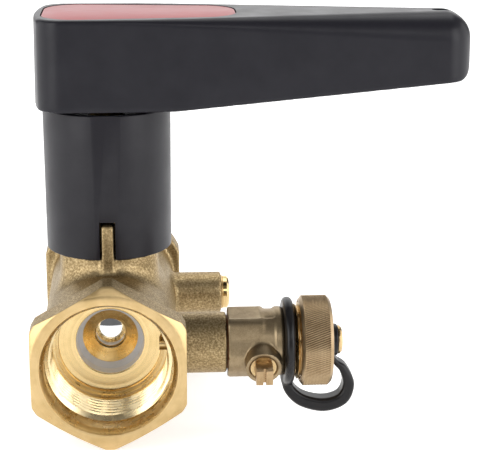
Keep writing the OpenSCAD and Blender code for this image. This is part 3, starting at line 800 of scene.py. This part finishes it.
def cap():
    """Knurled cap: a diamond knurl on its rim, a dished face with the rivet's hole, and a plain inside."""
    teeth, steps_per_tooth, cut_depth = 126, 8, 0.34
    start, end, dish, hole = CAP_START, CAP_END, CAP_END - 0.35, 2.05
    outer = [(start, 13.4), (start, 14.1, 0.3), (start + 1.0, CAP - 0.1, 0.3)]
    rim = [(s, CAP) for s in np.arange(start + 1.05, end - 1.2, 0.22 * fine)]
    face = [(end - 1.15, CAP - 0.1, 0.5), (end, 14.3, 0.9), (end, 12.6, 0.3), (dish, 12.2, 0.2),
            (dish, 3.2, 0.2), (dish, hole)]
    inner = [(73.6, hole), (73.6, CAP_INSIDE), (start + 0.8, CAP_INSIDE, 0.3), (start, 13.4)]
    head, tail = soften(outer), soften(face + inner)
    profile = np.concatenate([head, np.array(rim), tail])
    low, high = len(head), len(head) + len(rim)

    def groove(turn):
        """1 in the middle of a groove, 0 on the flat between two grooves."""
        return 1 - np.clip(np.abs(turn % 1.0 * 2 - 1) * 1.3, 0, 1)

    def knurl(a, along, r):
        """Two crossing sets of grooves: one is deeper in the upper half, the other in the lower half."""
        u = a / (2 * math.pi) * teeth
        pitch = 2 * math.pi * CAP / teeth
        v = (along - start) / pitch * 0.36
        upper = np.clip(0.5 + 2.5 * np.sin(a + 0.05), 0.2, 1)
        lower = np.clip(0.5 - 2.5 * np.sin(a + 0.05), 0.2, 1)
        depth = cut_depth * np.maximum(groove(u + v) * upper, groove(u - v) * lower)
        rows = np.arange(len(r))[:, None]
        on = (rows >= low) & (rows < high)
        return along, np.where(on, r - depth, r)

    verts, faces, _ = revolve(profile, teeth * steps_per_tooth, 0, (0, DRAIN, 0), knurl)
    piece("drain_cap_visual", verts, faces, ["knurl"], "cap", None, ("drain_cap",), "blasted_brass", 40)


cap()


# ---------------------------------------------------------------- seals, washer, eyelet, rivet and seat ring
turned("drain_seal_visual", [(39.72, 6.6), (39.72, 9.2, 0.1), (40.18, 9.2, 0.1), (40.18, 6.6)],
       ["brown"], "housing", cad=("drain_seal",), slot="brown_seal")
turned("test_port_washer_visual", [(40.62, 4.9), (40.62, 6.3, 0.1), (41.18, 6.3, 0.1), (41.18, 4.9)],
       ["face"], "housing", at=(0, TEST, 0), cad=("test_port_washer",), slot="turned_brass")
turned("strap_eyelet_visual", [(75.5, 2.1), (75.5, 5.5, 0.5), (78.0, 5.5, 0.6), (78.0, 2.1)],
       ["rubber"], "strap_end", cad=("strap_eyelet",), slot="black_rubber")
RIVET = [(72.8, 0), (72.8, 3.4, 0.2), (73.6, 3.4, 0.2), (73.6, 2.0), (78.1, 2.0), (78.1, 4.9, 0.25),
         (78.8, 4.9, 0.35), (79.5, 4.3, 0.5), (79.7, 3.0, 0.4), (79.7, 0)]
turned("cap_rivet_visual", RIVET, ["cock"], "cap", cad=("cap_rivet",), slot="turned_brass")

# White wall and grey face of the inlet's seat ring, with the ball's hollow behind them. The ring is one white
# plastic; the grey of its face is painted shade.
SEAT_FRONT, SEAT_WHITE_END, SEAT_OPENING = 20.5, 22.5, 11.66
SEAT_RING = [(SEAT_FRONT, 15.45), (SEAT_FRONT, SEAT_OPENING), (SEAT_WHITE_END, 11.3, 0.1), (24.1, 9.55, 0.1),
             (24.4, 9.55), (24.4, 10.18), (30.4, 10.18), (31.55, 11.5), (33, 12.75), (33, 15.45),
             (SEAT_FRONT, 15.45)]
turned("inlet_seat_ring_visual", SEAT_RING, ["seat", "white"], "housing", 1, (0, 0, 0), 128,
       cad=("inlet_seat_ring",), slot="white_seal",
       band=lambda along, radius: int(SEAT_FRONT < along < SEAT_WHITE_END - 0.05
                                      and radius < SEAT_OPENING + 0.04))


def plug():
    """Polished plug: a round flanged head with a hexagon socket, and a plain shank."""
    profile = soften([(31, 0), (31, 4.6, 0.3), (41.2, 4.8), (41.2, 6.0, 0.1), (41.35, 6.1, 0.1),
                      (42.8, 6.1, 0.4), (43.6, 5.2, 0.7), (43.7, 4.2, 0.3), (43.7, 3.7, 0.2), (43.3, 3.3),
                      (38.8, 3.3), (38.8, 0)])
    count = len(profile)

    def socket(a, along, r):
        flats = 2.9 / np.cos((a + math.pi / 6) % (math.pi / 3) - math.pi / 6)
        rows = np.arange(count)[:, None]
        return along, np.where((rows >= count - 3) & (rows < count - 1), flats, r)

    verts, faces, _ = revolve(profile, 96, 0, (0, TEST, 0), socket)
    obj = piece("test_port_plug_visual", verts, faces, ["plug"], "housing", None, ("test_port_plug",),
                "polished_brass")
    weld(obj)
    shade(obj.data, 34)


plug()

# Middle line of the strap's loop in x and z from the drain's axis, and its thickness at each point
STRAP = [(60.6, -9), (60.6, -12.6), (61.6, -17.2), (66, -21.4), (73.6, -23.3), (80, -21.2), (82.2, -15.8),
         (80.4, -10.4), (77.9, -7.9), (76.8, -6.3)]
THICK = [3.6, 3.6, 3.8, 4.4, 4.8, 4.6, 4.0, 3.0, 2.0, 1.4]
STRAP_RING, STRAP_RING_HOLE, STRAP_HALF_WIDTH = 15.1, 11.15, 3.5
STRAP_RING_ENDS = (59.1, 62.5)


def strap():
    """Rubber strap: a ring round the neck of the drain and a loop to the cap."""
    line, thick = [], []
    pts, ths = np.array(STRAP), np.array(THICK)
    for i in range(len(pts) - 1):
        a, b = pts[max(i - 1, 0)], pts[i]
        c, d = pts[i + 1], pts[min(i + 2, len(pts) - 1)]
        for t in np.linspace(0, 1, 8, endpoint=False):
            line.append(0.5 * (2 * b + (c - a) * t + (2 * a - 5 * b + 4 * c - d) * t ** 2
                               + (3 * b - a - 3 * c + d) * t ** 3))
            thick.append(ths[i] + (ths[i + 1] - ths[i]) * t)
    line.append(pts[-1])
    thick.append(ths[-1])
    line, thick = np.array(line), np.array(thick)

    def field(x, y, z):
        y = y - DRAIN
        shape = np.broadcast(x, y, z).shape
        px, pz = np.broadcast_to(x, shape), np.broadcast_to(z, shape)
        flat_x, flat_z = (px[:, 0, :], pz[:, 0, :]) if px.ndim == 3 else (px, pz)
        best = np.full(flat_x.shape, 1e9)
        for i in range(len(line) - 1):
            a, b = line[i], line[i + 1]
            d = b - a
            t = np.clip(((flat_x - a[0]) * d[0] + (flat_z - a[1]) * d[1]) / (d @ d), 0, 1)
            gap = np.hypot(flat_x - a[0] - t * d[0], flat_z - a[1] - t * d[1])
            best = np.minimum(best, gap - (thick[i] + (thick[i + 1] - thick[i]) * t) / 2)
        band = best[:, None, :] if px.ndim == 3 else best
        band = meet(band, np.abs(y) - STRAP_HALF_WIDTH, 1.5)
        rho = np.sqrt(y * y + z * z)
        ring = meet(rho - STRAP_RING, slab(x, *STRAP_RING_ENDS), 1.6)
        ring = meet(ring, STRAP_RING_HOLE - rho, 0.5)
        return fillet(ring, band, 1.4)

    verts, faces = skin(field, (57, DRAIN - 17, -27), (86, DRAIN + 17, 17), 0.42 * fine)
    obj = piece("cap_strap_visual", verts, faces, ["rubber"], None, cad=("cap_strap",), slot="black_rubber",
                sharp=50)
    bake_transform(obj)


strap()

# ---------------------------------------------------------------- CAD nodes that stay
KEPT = {
    "seat_retainer": "inner", "inlet_nozzle": "nozzle", "outlet_seat_ring": "white", "main_ball": "chrome",
    "main_stem": "inner", "stem_thrust_washer": "white", "stem_o_rings": "rubber", "gland_packing": "white",
    "gland_nut": "inner", "lever_insert": "steel", "lever_screw": "steel", "drain_ball": "chrome",
    "drain_ball_seats": "white", "drain_seat_nut": "cock", "drain_stem": "stem",
    "drain_stem_o_ring": "rubber", "drain_gland": "cock", "cap_gasket": "rubber",
}
for node_name, mat in KEPT.items():
    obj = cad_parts[node_name]
    for place_in in obj.material_slots:
        place_in.material = M[mat]

# ---------------------------------------------------------------- stage
FLOOR_HALF, FLOOR_Z = 9, -0.0288
floor_mesh = bpy.data.meshes.new("floor")
floor_corners = [(x * FLOOR_HALF, y * FLOOR_HALF, FLOOR_Z) for x, y in ((-1, -1), (1, -1), (1, 1), (-1, 1))]
floor_mesh.from_pydata(floor_corners, [], [(0, 1, 2, 3)])
floor = bpy.data.objects.new("floor", floor_mesh)
bpy.context.scene.collection.objects.link(floor)
mat, tree, shader = tree_of("floor", 0.75, 0.0)
cloud = noise(tree, place(tree), 3.0, 2)
pale = ramp(tree, cloud, [(0.3, (0.90, 0.90, 0.90)), (0.7, (0.92, 0.92, 0.92))])
join(tree, pale, shader.inputs["Base Color"])
shader.inputs["Emission Color"].default_value = (1, 1, 1, 1)
shader.inputs["Emission Strength"].default_value = 0.55
floor_mesh.materials.append(mat)


def softbox(name, azimuth, elevation, distance, width, height, power):
    """Area light round the valve. Azimuth 0 is in front (-Y), positive to the right (+X)."""
    data = bpy.data.lights.new(name, "AREA")
    data.shape, data.size, data.size_y, data.energy = "RECTANGLE", width, height, power
    light = bpy.data.objects.new(name, data)
    a, e = math.radians(azimuth), math.radians(elevation)
    way = Vector((math.sin(a) * math.cos(e), -math.cos(a) * math.cos(e), math.sin(e)))
    target = Vector((0.04, 0.04, 0.04))
    light.location = target + way * distance
    light.rotation_mode = "QUATERNION"
    light.rotation_quaternion = way.to_track_quat("Z", "Y")
    bpy.context.scene.collection.objects.link(light)


softbox("top light", 180, 66, 1.5, 1.8, 0.9, 11)
softbox("front light", 8, 29, 1.5, 0.9, 0.25, 2.0)
softbox("left light", -52, 18, 1.3, 0.75, 1.1, 9)
softbox("right light", 54, 16, 1.3, 0.75, 1.1, 9)
softbox("left wall", -100, 12, 1.5, 1.2, 1.0, 6)
softbox("right wall", 100, 12, 1.5, 1.2, 1.0, 6)
softbox("back light", 180, 22, 1.8, 2.4, 1.2, 13)

world = bpy.data.worlds.new("studio")
bpy.context.scene.world = world
world.use_nodes = True
world.node_tree.nodes["Background"].inputs[0].default_value = (1, 1, 1, 1)
world.node_tree.nodes["Background"].inputs[1].default_value = 0.16

# ---------------------------------------------------------------- camera, fitted to the photo's view
yaw, pitch, roll = (math.radians(a) for a in (4.12956, 16.1505, 0.23102))
forward = Vector((math.sin(yaw) * math.cos(pitch), math.cos(yaw) * math.cos(pitch), -math.sin(pitch)))
right = Vector((math.cos(yaw), -math.sin(yaw), 0))
up = right.cross(forward)
side = right * math.cos(roll) + up * math.sin(roll)
above = up * math.cos(roll) - right * math.sin(roll)
camera_data = bpy.data.cameras.new("camera")
camera_data.lens, camera_data.sensor_width = 108, 36
camera_data.clip_start, camera_data.clip_end = 0.02, 60
camera = bpy.data.objects.new("camera", camera_data)
station = Vector((0.012904, -0.46729, 0.181995))
rows = [(side[i], above[i], -forward[i], station[i]) for i in range(3)]
camera.matrix_world = Matrix((*rows, (0, 0, 0, 1)))
bpy.context.scene.collection.objects.link(camera)
bpy.context.scene.camera = camera
bpy.context.scene.view_settings.view_transform = "Standard"
